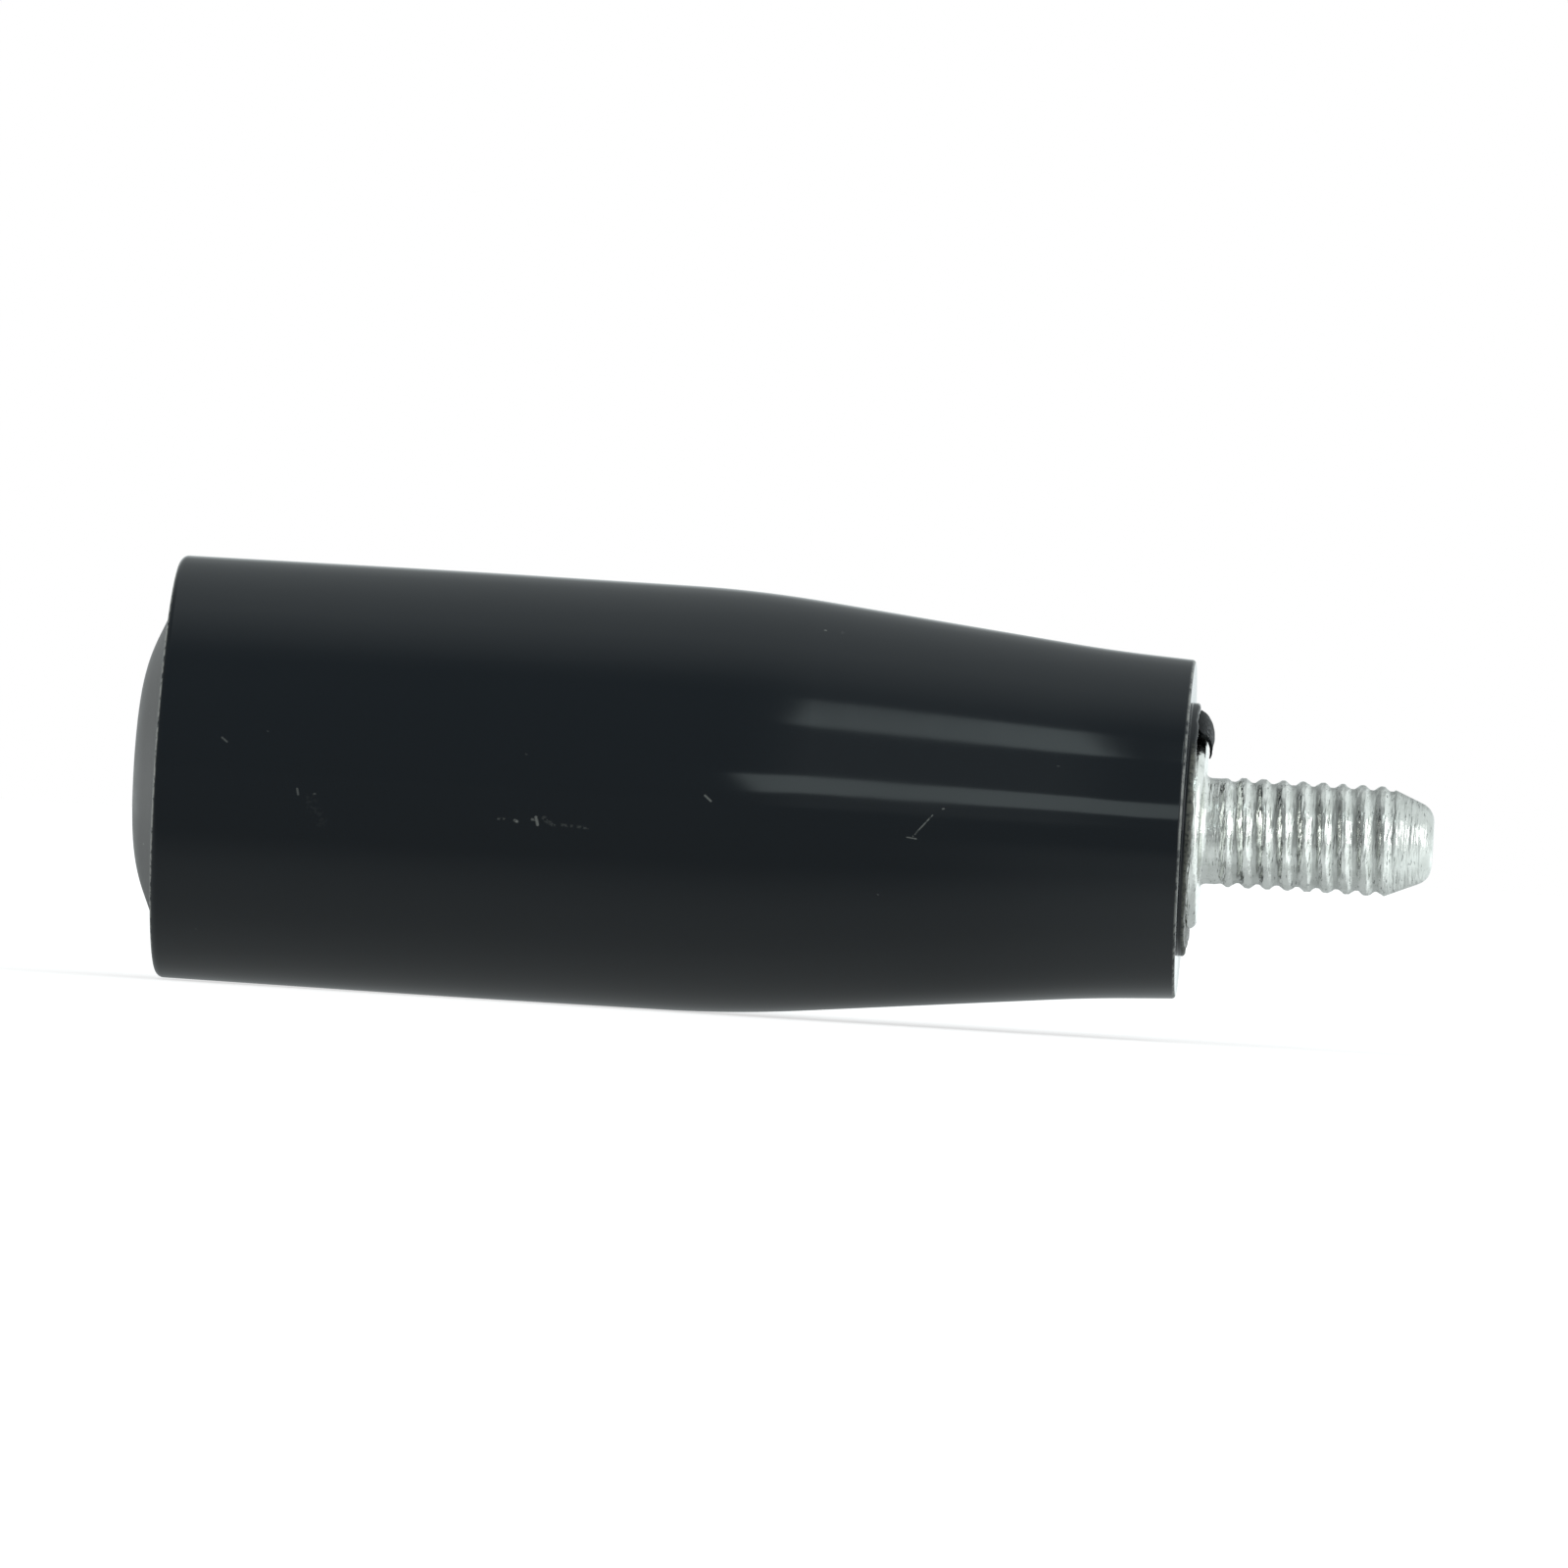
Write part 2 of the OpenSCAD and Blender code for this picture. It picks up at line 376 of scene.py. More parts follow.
class NodeBench:
    """Bench for one node tree: makes nodes, sets their sockets and links them."""

    def __init__(self, owner: bpy.types.ID, keep: bool = False) -> None:
        """Starts on the node tree of a material, a lamp or a world.

        Args:
            owner: What the tree belongs to.
            keep: Whether the nodes that it starts with stay.
        """
        owner.use_nodes = True
        self.tree = owner.node_tree
        if not keep:
            self.tree.nodes.clear()

    def node(self, kind: str, inputs: Optional[dict] = None, **settings: object) -> bpy.types.Node:
        """Makes a node.

        Args:
            kind: Blender's node type.
            inputs: Values or signals by socket name or number.
            **settings: Attributes of the node.

        Returns:
            The new node.
        """
        made = self.tree.nodes.new(kind)
        for key, value in settings.items():
            setattr(made, key, value)
        for key, value in (inputs or {}).items():
            self.feed(made.inputs[key], value)
        return made

    def out(
        self, key: Union[int, str], kind: str, inputs: Optional[dict] = None, **settings: object
    ) -> Signal:
        """Output of a new node, by number or name."""
        return Signal(self, self.node(kind, inputs, **settings).outputs[key])

    def feed(self, socket: bpy.types.NodeSocket, value: object) -> None:
        """Links a signal to the socket, or sets the socket's value."""
        if isinstance(value, Signal):
            self.tree.links.new(value.socket, socket)
        else:
            socket.default_value = value

    def math(self, operation: str, a: Value, b: Value = 0.0, clamp: bool = False) -> Signal:
        """Result of a math node."""
        return self.out(0, "ShaderNodeMath", {0: a, 1: b}, operation=operation, use_clamp=clamp)

    def split(self, vector: Signal) -> tuple[Signal, ...]:
        """The three parts of a vector."""
        return tuple(Signal(self, part) for part in self.node("ShaderNodeSeparateXYZ", {0: vector}).outputs)

    def spread(self, value: Value, span: Pair, to: Pair = (0.0, 1.0)) -> Signal:
        """Eased mapping of a value from one span to another."""
        inputs = {"Value": value, "From Min": span[0], "From Max": span[1], "To Min": to[0], "To Max": to[1]}
        return self.out("Result", "ShaderNodeMapRange", inputs, interpolation_type="SMOOTHSTEP")

    def blend(self, share: Value, a: object, b: object) -> Signal:
        """Colour between a and b, each a colour or a signal."""
        made = self.node("ShaderNodeMix", {0: share}, data_type="RGBA")
        for socket, colour in zip(made.inputs[MIX_COLOURS], (a, b)):
            self.feed(socket, colour if isinstance(colour, Signal) else (*colour, 1.0))
        return Signal(self, made.outputs[MIX_RESULT])


@dataclass(frozen=True)
class Patches:
    """Noise over a finish, in waves per millimetre, and the patches that it makes.

    A patch grows where the noise crosses the span, and the levels are its values outside and inside.
    """

    scale: float
    detail: float
    span: Pair = (0.0, 1.0)
    levels: Pair = (0.0, 1.0)
    stretch: Triple = (1.0, 1.0, 1.0)


class FinishBench(NodeBench):
    """Bench for a finish: a principled shader, with places, noises and bumps for it."""

    def __init__(self, name: str) -> None:
        """Starts a material with a principled shader.

        Args:
            name: Name of the material.
        """
        self.material = bpy.data.materials.new(name)
        super().__init__(self.material, keep=True)
        self.shader = self.tree.nodes["Principled BSDF"]

    def shade(self, **inputs: object) -> None:
        """Sets or links the shader's sockets, with underscores for the blanks in their names."""
        for key, value in inputs.items():
            self.feed(self.shader.inputs[key.replace("_", " ")], value)

    def place(self) -> Signal:
        """Place on the piece, in millimetres."""
        source = self.out("Object", "ShaderNodeTexCoord")
        return self.out(0, "ShaderNodeVectorMath", {0: source, "Scale": 1.0 / MM}, operation="SCALE")

    def axes(self) -> tuple[Signal, Signal, Signal]:
        """Place in the handle's own coordinates.

        Returns:
            Millimetres along the axis, millimetres from the axis, and radians up from the front.
        """
        x, y, z = self.split(self.place())
        return x, self.math("SQRT", y * y + z * z), self.math("ARCTAN2", z, y * -1.0)

    def noise(self, patches: Patches) -> Signal:
        """Plain noise from 0 to 1."""
        scaled = {0: self.place(), 1: patches.stretch}
        spot = self.out(0, "ShaderNodeVectorMath", scaled, operation="MULTIPLY")
        inputs = {"Vector": spot, "Scale": patches.scale, "Detail": patches.detail}
        return self.out("Fac", "ShaderNodeTexNoise", inputs)

    def patches(self, patches: Patches) -> Signal:
        """The noise's patches at their levels."""
        return self.spread(self.noise(patches), patches.span, patches.levels)

    def bump(self, height: Value, relief: Pair) -> None:
        """Bump onto the shader's normal, with a depth in millimetres and a strength."""
        inputs = {"Height": height, "Distance": relief[0] * MM, "Strength": relief[1]}
        self.shade(Normal=self.out(0, "ShaderNodeBump", inputs))


@dataclass(frozen=True)
class Mark:
    """A scuff on the sleeve, as a short stroke with soft ends, whole or broken into dots.

    Its start and end are given along from the wide end, and up along the surface from the front.
    """

    along: Pair
    up: Pair
    width: float
    strength: float
    broken: bool = False


@dataclass(frozen=True)
class Rim:
    """Band of wear along an edge of the sleeve.

    The wear grows between two distances inward from the end's face and two below the edge's radius.
    """

    inward: Pair
    below: Pair
    strength: float

    def mask(self, bench: FinishBench, distance: Signal, r: Signal, edge: float) -> Signal:
        """Mask of the wear, by the distance from the end's face and from the axis."""
        near = bench.spread(distance, self.inward, (0.0, self.strength))
        return near * bench.spread(r, (edge - self.below[0], edge - self.below[1]))


@dataclass(frozen=True)
class BlackMoulding:
    """Glossy black thermoset moulding, with rubbed rims, a trimmed lip and a few scuffs."""

    base: Colour = (0.0014, 0.0044, 0.0076)
    rubbed: Colour = (0.42, 0.43, 0.40)
    trimmed: Colour = (0.15, 0.155, 0.13)
    scuff: Colour = (0.16, 0.17, 0.16)
    worn_roughness: float = 0.45
    worn_height: float = -0.4
    ior: float = 1.5
    gloss: Patches = Patches(0.18, 3.0, (0.35, 0.7), (0.07, 0.13), (0.5, 1.0, 1.0))
    swell: Patches = Patches(0.35, 1.0)
    relief: Pair = (0.02, 0.35)
    butt_rim: Rim = Rim((0.13, 0.04), (0.40, 0.26), 0.85)
    nose_rim: Rim = Rim((0.16, 0.05), (0.18, 0.08), 0.5)
    chips: Patches = Patches(2.6, 4.0, (0.32, 0.60))
    cut_inward: Pair = (-0.10, -0.22)
    cut_beside: Pair = (0.42, 0.62)
    cut_patches: Patches = Patches(5.0, 4.0, (0.30, 0.66), (0.25, 1.0))
    scuff_grain: Patches = Patches(5.0, 3.0)
    scuff_edge: Pair = (0.65, 0.15)
    whole_span: Pair = (0.30, 0.45)
    broken_span: Pair = (0.46, 0.58)
    marks: tuple[Mark, ...] = (
        Mark((3.34, 3.60), (1.61, 1.41), 0.11, 0.4),
        Mark((5.57, 5.62), (2.07, 2.07), 0.08, 0.25),
        Mark((7.27, 7.33), (-0.74, -1.01), 0.13, 0.45),
        Mark((8.12, 8.19), (-0.94, -0.93), 0.09, 0.35),
        Mark((7.93, 8.52), (-1.25, -2.26), 0.7, 0.05, True),
        Mark((17.40, 17.82), (-1.61, -1.60), 0.14, 0.3, True),
        Mark((18.26, 18.37), (-1.65, -1.69), 0.16, 0.95),
        Mark((19.31, 19.41), (-1.42, -1.79), 0.17, 0.85),
        Mark((19.12, 19.37), (-1.54, -1.55), 0.15, 0.6),
        Mark((19.71, 20.19), (-1.45, -1.72), 0.30, 0.2, True),
        Mark((20.26, 21.94), (-1.71, -1.79), 0.16, 0.2, True),
        Mark((21.72, 21.78), (-1.80, -1.82), 0.10, 0.35),
        Mark((18.60, 18.65), (1.72, 1.71), 0.10, 0.15),
        Mark((27.70, 28.01), (0.20, -0.06), 0.12, 0.7),
        Mark((39.58, 39.64), (0.30, 0.32), 0.09, 0.7),
        Mark((39.09, 38.18), (-0.09, -1.31), 0.09, 0.7),
        Mark((37.88, 38.35), (-1.38, -1.45), 0.08, 0.75),
        Mark((32.95, 33.00), (11.10, 11.10), 0.12, 0.8),
        Mark((33.82, 33.85), (11.05, 11.20), 0.13, 0.15),
        Mark((36.56, 36.61), (-4.70, -4.73), 0.08, 0.4),
        Mark((2.35, 2.41), (-9.23, -9.23), 0.09, 0.25),
        Mark((45.15, 45.25), (3.36, 3.36), 0.08, 0.2),
    )

    def stroke(self, bench: FinishBench, mark: Mark, along: Signal, up: Signal, grain: Signal) -> Signal:
        """Mask of one mark: its share falls off with the distance from the line between its ends.

        Args:
            bench: Node bench of the material.
            mark: The mark.
            along: Distance from the wide end.
            up: Distance along the surface up from the front.
            grain: Fine noise that breaks the edge.

        Returns:
            The mask, from 0 to the mark's strength.
        """
        start = np.array([mark.along[0], mark.up[0]])
        span = np.array([mark.along[1], mark.up[1]]) - start
        length = float(np.linalg.norm(span))
        c, s = span / length
        da, du = along - start[0], up - start[1]
        run, off = da * c + du * s, du * c - da * s
        past = run - bench.math("MINIMUM", bench.math("MAXIMUM", run, 0.0), length)
        apart = bench.math("SQRT", off * off + past * past)
        outer, inner = self.scuff_edge
        mask = bench.spread(apart, (mark.width * outer, mark.width * inner), (0.0, mark.strength))
        return mask * bench.spread(grain, self.broken_span if mark.broken else self.whole_span)

    def make(self, ends: Pair, edges: Pair, mid_r: float, flash_turn: float) -> Material:
        """Builds the material.

        Args:
            ends: Places of the sleeve's wide end and of its narrow end.
            edges: Radius of the wide end's rim and of the narrow end's.
            mid_r: Radius that turns the angle into a distance along the surface.
            flash_turn: Angle up from the front at which the lip is left untrimmed.

        Returns:
            The material.
        """
        bench = FinishBench("black_moulding")
        x, r, turn = bench.axes()
        along, left, up = x - ends[0], bench.math("SUBTRACT", ends[1], x), turn * mid_r
        grain = bench.noise(self.scuff_grain)
        scuffed: Value = 0.0
        for mark in self.marks:
            scuffed = bench.math("MAXIMUM", scuffed, self.stroke(bench, mark, along, up, grain))
        butt = self.butt_rim.mask(bench, along, r, edges[0])
        nose = self.nose_rim.mask(bench, left, r, edges[1])
        rims = bench.math("MAXIMUM", butt, nose) * bench.patches(self.chips)
        beside = bench.math("ABSOLUTE", turn - flash_turn)
        cut = bench.spread(left, self.cut_inward) * bench.spread(beside, self.cut_beside)
        cut = cut * bench.patches(self.cut_patches)
        colour: object = self.base
        for share, worn_colour in ((rims, self.rubbed), (cut, self.trimmed), (scuffed, self.scuff)):
            colour = bench.blend(share, colour, worn_colour)
        worn = bench.math("MAXIMUM", scuffed, bench.math("MAXIMUM", rims, cut), clamp=True)
        gloss = bench.patches(self.gloss) + worn * self.worn_roughness
        bench.shade(Base_Color=colour, Roughness=gloss, IOR=self.ior)
        bench.bump(bench.noise(self.swell) + worn * self.worn_height, self.relief)
        return bench.material


@dataclass(frozen=True)
class TornFlash:
    """Thin black moulding flash, dull and torn, with pale flecks along its outer bend, which are a painted
    sheen of the light falling on that bend.
    """

    base: Colour = (0.004, 0.0055, 0.0065)
    # Pale colour of the flecks on the outer bend: painted sheen, not a colour of the flash itself.
    speck: Colour = (0.17, 0.175, 0.18)
    roughness: float = 0.5
    ior: float = 1.5
    sheen: float = 0.12
    bend_fade: float = 0.4
    outer_r: Pair = (5.0, 5.3)
    sheen_specks: Patches = Patches(5.0, 4.0, (0.52, 0.66))
    skin: Patches = Patches(6.0, 3.0)
    relief: Pair = (0.03, 0.8)

    def make(self, bend_x: float) -> Material:
        """Builds the material.

        Args:
            bend_x: Place along the axis past which the bend gets its painted sheen flecks.

        Returns:
            The material.
        """
        bench = FinishBench("black_flash")
        x, r, _ = bench.axes()
        # Painted sheen: pale flecks on the outer bend, where light catches the flash.
        outer = bench.spread(x, (bend_x, bend_x + self.bend_fade)) * bench.spread(r, self.outer_r)
        colour = bench.blend(outer * bench.patches(self.sheen_specks), self.base, self.speck)
        bench.shade(Base_Color=colour, Roughness=self.roughness, IOR=self.ior, Specular_IOR_Level=self.sheen)
        bench.bump(bench.noise(self.skin), self.relief)
        return bench.material


@dataclass(frozen=True)
class GreyPlastic:
    """Matt grey moulded plastic with a fine spark-eroded grain."""

    base: Colour = (0.148, 0.150, 0.150)
    dusty: Colour = (0.172, 0.174, 0.174)
    speck: Colour = (0.42, 0.44, 0.44)
    ior: float = 1.49
    dust: Patches = Patches(0.5, 4.0, (0.35, 0.75))
    gloss: Patches = Patches(0.5, 4.0, (0.3, 0.7), (0.38, 0.46))
    dots: Patches = Patches(3.2, 2.0, (0.74, 0.80))
    skin: Patches = Patches(9.0, 3.0)
    relief: Pair = (0.012, 0.6)

    def make(self) -> Material:
        """Builds the material."""
        bench = FinishBench("grey_plastic")
        colour = bench.blend(bench.patches(self.dust), self.base, self.dusty)
        colour = bench.blend(bench.patches(self.dots), colour, self.speck)
        bench.shade(Base_Color=colour, Roughness=bench.patches(self.gloss), IOR=self.ior)
        bench.bump(bench.noise(self.skin), self.relief)
        return bench.material


@dataclass(frozen=True)
class ZincPlate:
    """Bright zinc plate over turned and rolled steel, darker and rougher in the thread's roots, and pitted,
    with dark flecks that are partly real pits and partly painted dark reflections.
    """

    bright: Colour = (0.95, 0.965, 0.925)
    dull: Colour = (0.79, 0.81, 0.77)
    deep: Colour = (0.56, 0.58, 0.55)
    # Dark colour of the flecks: partly real pits, partly painted dark reflections.
    pit_and_reflection_dark: Colour = (0.12, 0.13, 0.13)
    dulled: Patches = Patches(1.1, 5.0, (0.42, 0.70))
    gloss: Patches = Patches(1.1, 5.0, (0.3, 0.75), (0.14, 0.32))
    root_fade: float = 0.3
    root_above: Pair = (0.13, 0.03)
    root_share: float = 0.5
    root_roughness: float = 0.12
    pits_and_dark_reflections: Patches = Patches(4.5, 3.0, (0.62, 0.70), stretch=(2.2, 0.4, 0.4))
    pit_and_reflection_share: float = 0.6
    pit_height: float = -0.3
    lumps: Patches = Patches(3.0, 3.0)
    lump_share: float = 0.4
    lines: Patches = Patches(1.0, 2.0, stretch=(4.5, 0.6, 0.6))
    line_levels: Pair = (0.9, 1.4)
    point_fade: float = 0.3
    relief: Pair = (0.1, 0.8)

    def make(self, root_r: float, thread_start: float, point: float) -> Material:
        """Builds the material.

        Args:
            root_r: Radius of the thread's roots.
            thread_start: Place along the axis where the thread begins.
            point: Place along the axis where the cone point begins.

        Returns:
            The material.
        """
        bench = FinishBench("zinc_plate")
        x, r, _ = bench.axes()
        low, high = self.root_above
        root = bench.spread(r, (root_r + low, root_r + high))
        root = root * bench.spread(x, (thread_start - self.root_fade, thread_start + self.root_fade))
        pits_and_dark_reflections = bench.patches(self.pits_and_dark_reflections)
        colour = bench.blend(bench.patches(self.dulled), self.bright, self.dull)
        # Darker in the thread's roots.
        colour = bench.blend(root * self.root_share, colour, self.deep)
        # Dark flecks: partly real pits, partly painted dark reflections on the thread.
        colour = bench.blend(pits_and_dark_reflections * self.pit_and_reflection_share, colour, self.pit_and_reflection_dark)
        gloss = bench.patches(self.gloss) + root * self.root_roughness
        bench.shade(Base_Color=colour, Metallic=1.0, Roughness=gloss)
        on_point = bench.spread(x, (point, point + self.point_fade))
        lines = bench.noise(self.lines) * bench.spread(on_point, (0.0, 1.0), self.line_levels)
        lumps = bench.noise(self.lumps) + pits_and_dark_reflections * self.pit_height
        bench.bump(lumps * self.lump_share + lines, self.relief)
        return bench.material


@dataclass(frozen=True)
class PlainSteel:
    """Steel of an inner piece, with fine rings from its turning or blanking."""

    name: str
    base: Colour
    roughness: float
    ring_rate: float = 40.0
    cloud: Patches = Patches(1.5, 4.0, (0.3, 0.7), (0.75, 1.1))
    relief: Pair = (0.004, 0.5)

    def make(self) -> Material:
        """Builds the material."""
        bench = FinishBench(self.name)
        _, r, _ = bench.axes()
        shaded = {0: self.base, "Scale": bench.patches(self.cloud)}
        tint = bench.out(0, "ShaderNodeVectorMath", shaded, operation="SCALE")
        bench.shade(Base_Color=tint, Metallic=1.0, Roughness=self.roughness)
        bench.bump(bench.math("SINE", r * self.ring_rate), self.relief)
        return bench.material


# Pieces


def fit_piece(piece: Piece, body: Body, slot: Slot, material: Material, *nodes: str) -> None:
    """Rides a piece on its body, gives it its material and lets it stand for its nodes.

    Args:
        piece: The piece.
        body: The body that it moves with.
        slot: Not used.
        material: Its material.
        *nodes: The nodes that it stands for.
    """
    piece.data.materials.append(material)
    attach(piece, body.value)
    if nodes:
        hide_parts(*nodes)


@dataclass
class Layout:
    """Places along the axis that the pieces share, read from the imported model, in millimetres."""

    wide_end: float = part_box("sleeve")[0][0] / MM
    stud_end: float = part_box("spindle")[1][0] / MM
    tail_end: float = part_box("spindle")[0][0] / MM
    crown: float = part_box("end_cap")[0][0] / MM
    cap_foot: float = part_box("end_cap")[1][0] / MM
    washer_near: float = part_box("thrust_washer")[1][0] / MM
    washer_far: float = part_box("thrust_washer")[0][0] / MM
    ring_far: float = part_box("retaining_ring")[0][0] / MM


@dataclass
class Sleeve:
    """The moulded grip: barrel, cone and foot outside, stepped bore inside, and a lip at the narrow end."""

    layout: Layout
    barrel_len: float = 29.23
    cone_len: float = 18.0
    foot_len: float = 4.3
    butt_r: float = 10.69
    belly_r: float = 10.763
    shoulder_r: float = 10.73
    foot_r: float = 8.8
    nose_r: float = 8.56
    belly_blend: float = 900.0
    shoulder_blend: float = 66.0
    foot_blend: float = 93.0
    butt_edge: float = 0.4
    nose_edge: float = 0.2
    lip_r: float = 6.4
    lip_h: float = 0.38
    lip_root: float = 0.06
    lip_edge: float = 0.15
    lip_inner_edge: float = 0.08
    lip_slack: float = 0.01
    lip_wander: float = 0.1
    lip_wave: Wave = Wave(11, (2, 5, 9, 17, 31, 47))
    recess_r: float = 5.15
    recess_floor: float = -2.5
    bore_r: float = 4.06
    pocket_r: float = 7.7
    seat_r: float = 8.25
    seat_edge: float = 0.1
    bead_h: float = 0.25
    bead_at: float = 3.2
    bead_half: float = 0.3
    end_play: float = 0.1
    flash_turn: float = math.radians(70.0)
    step: float = 0.45
    arc_steps: int = 12
    guard: float = 0.03
    columns: int = 224
    finish: BlackMoulding = field(default_factory=BlackMoulding)

    @property
    def narrow_end(self) -> float:
        """Place of the narrow end's face."""
        return self.layout.wide_end + self.barrel_len + self.cone_len + self.foot_len

    def corners(self) -> list[Corner]:
        """Corners of the section, from the rim of the wide end round the outside and back along the bore."""
        wide, narrow = self.layout.wide_end, self.narrow_end
        lip, bead = narrow + self.lip_h, wide + self.bead_at
        shoulder = wide + self.barrel_len
        pocket_floor = self.layout.washer_near + self.end_play
        return [
            Corner(self.seat_r, wide, self.seat_edge),
            Corner(self.butt_r, wide, self.butt_edge),
            Corner(self.belly_r, wide + self.barrel_len / 2.0, self.belly_blend),
            Corner(self.shoulder_r, shoulder, self.shoulder_blend),
            Corner(self.foot_r, shoulder + self.cone_len, self.foot_blend),
            Corner(self.nose_r, narrow, self.nose_edge),
            Corner(self.lip_r, narrow, self.lip_root),
            Corner(self.lip_r, lip, self.lip_edge),
            Corner(self.recess_r, lip, self.lip_inner_edge),
            Corner(self.recess_r, self.recess_floor),
            Corner(self.bore_r, self.recess_floor),
            Corner(self.bore_r, pocket_floor),
            Corner(self.pocket_r, pocket_floor),
            Corner(self.pocket_r, self.layout.cap_foot),
            Corner(self.seat_r, self.layout.cap_foot),
            Corner(self.seat_r, bead + self.bead_half),
            Corner(self.seat_r + self.bead_h, bead),
            Corner(self.seat_r, bead - self.bead_half),
        ]

    def build(self) -> Piece:
        """Builds the sleeve as its section carried round the axis, with a slightly ragged lip.

        The lip's height is scaled round the axis by an uneven wave: x grows by the wave times the share of
        the lip that a point has risen.

        Returns:
            The sleeve's object.
        """
        outline = turned_outline(self.corners(), self.step, self.arc_steps, self.guard, closed=True)
        r, x = outline[:, :1], outline[:, 1:]
        angle = ring_angles(self.columns)
        on_lip = (r < self.lip_r + self.lip_slack) & (x > self.narrow_end)
        rise = np.where(on_lip, (x - self.narrow_end) / self.lip_h, 0.0)
        points = about_axis(x + rise * self.lip_wander * self.lip_wave.at(angle), r, angle)
        return GridSurface(points, Ends.RING).to_object("sleeve_moulding")

    def dress(self, piece: Piece) -> None:
        """Gives the sleeve its finish."""
        ends, edges = (self.layout.wide_end, self.narrow_end), (self.butt_r, self.nose_r)
        material = self.finish.make(ends, edges, self.belly_r, self.flash_turn)
        fit_piece(piece, Body.SLEEVE, Slot.BLACK, material, "sleeve")


@dataclass
class Flash:
    """Curl of moulding flash on the lip, between its top and its front, that hooks over the flange."""

    centre_r: float = 4.6
    centre_x: float = -0.75
    reach_r: float = 1.43
    reach_x: float = 1.0
    thick: float = 0.22
    thinning: float = 0.4
    squareness: float = 0.35
    tip_angle: float = math.radians(98.0)
    tip_wander: float = math.radians(9.0)
    tip_wave: Wave = Wave(5, (2, 3, 7, 12), 4.0)
    span: Pair = (math.radians(56.5), math.radians(97.0))
    end_wander: float = math.radians(3.5)
    low_wave: Wave = Wave(7, (1, 3, 5), 3.0)
    high_wave: Wave = Wave(8, (1, 3, 5), 3.0)
    roughness: float = 0.012
    rough_rates: Pair = (9.0, 5.0)
    rough_wave: Wave = Wave(9, (3, 5, 8))
    sharp_angle: float = 60.0
    rows: int = 90
    columns: int = 64
    finish: TornFlash = field(default_factory=TornFlash)

    def build(self) -> Piece:
        """Builds the curl as the section of a hook carried round the lip.

        The hook's middle line is an arc of an ellipse from the lip over to the tip. The section lies half a
        thickness to each side of it, thinner towards the tip. Uneven waves move the tip and the two ends,
        so that the edges look torn.

        Returns:
            The curl's object.
        """
        share = np.linspace(0.0, 1.0, self.rows)[:, None]
        loop = ring_angles(self.columns)[None, :]
        along = (1.0 - np.cos(loop)) / 2.0
        side = np.sign(np.sin(loop)) * np.abs(np.sin(loop)) ** self.squareness
        tip = self.tip_angle + self.tip_wander * self.tip_wave.at(share)
        bend = along * tip
        lift = side * self.thick / 2.0 * (1.0 - self.thinning * along**2)
        r = self.centre_r + (self.reach_r + lift) * np.cos(bend)
        x = self.centre_x + (self.reach_x + lift) * np.sin(bend)
        low = self.span[0] + self.end_wander * self.low_wave.at(along)
        high = self.span[1] + self.end_wander * self.high_wave.at(along)
        turn = math.pi - (low + (high - low) * share)
        rough = self.rough_wave.at(turn * self.rough_rates[0] + bend * self.rough_rates[1]) * self.roughness
        points = about_axis(x + rough, r + rough, turn)
        return GridSurface(points, Ends.ZIP).to_object("flash_curl", self.sharp_angle)

    def dress(self, piece: Piece) -> None:
        """Gives the curl its finish."""
        fit_piece(piece, Body.SLEEVE, Slot.BLACK, self.finish.make(self.centre_x + self.reach_x / 2.0))


